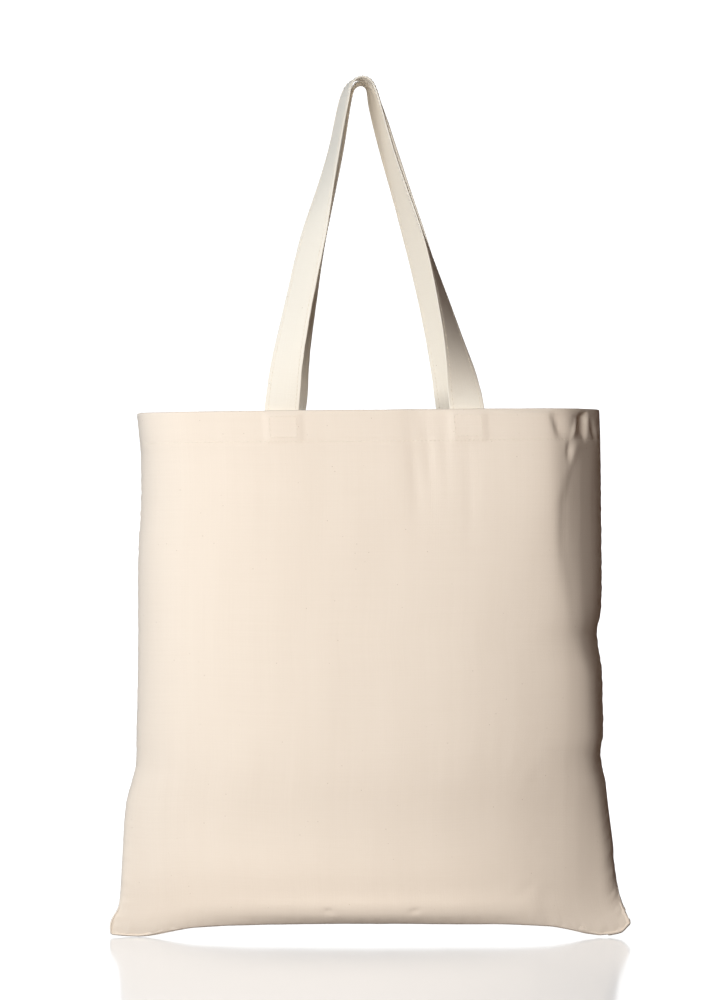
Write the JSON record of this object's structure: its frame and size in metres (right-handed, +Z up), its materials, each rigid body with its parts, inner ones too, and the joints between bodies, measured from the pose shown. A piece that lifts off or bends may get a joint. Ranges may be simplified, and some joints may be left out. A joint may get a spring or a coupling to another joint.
{
  "type": "tote bag",
  "caption": "Plain unbleached cotton tote bag, open at the top and softly filled out, hanging from a pair of flat cotton handles sewn inside its hem.",
  "frame": {"origin": "the point where a hook bears on the underside of the handles, midway between the front and the back handle", "axes": "+Z up, +X to the right for someone who faces the front, -Y out of the front panel"},
  "size_m": [0.383, 0.0992, 0.6286],
  "materials": {
    "cotton_cloth": "unbleached plain-weave cotton, matt, with fine slubs",
    "cotton_hem": "unbleached plain-weave cotton, turned in and stitched",
    "cotton_handle": "unbleached cotton folded into a flat strap, matt, stitched along its edges"
  },
  "bodies": {
    "root": {"front_panel": "cotton_cloth", "back_panel": "cotton_cloth", "top_hem": "cotton_hem", "front_handle": "cotton_handle", "back_handle": "cotton_handle"}
  },
  "joints": []
}
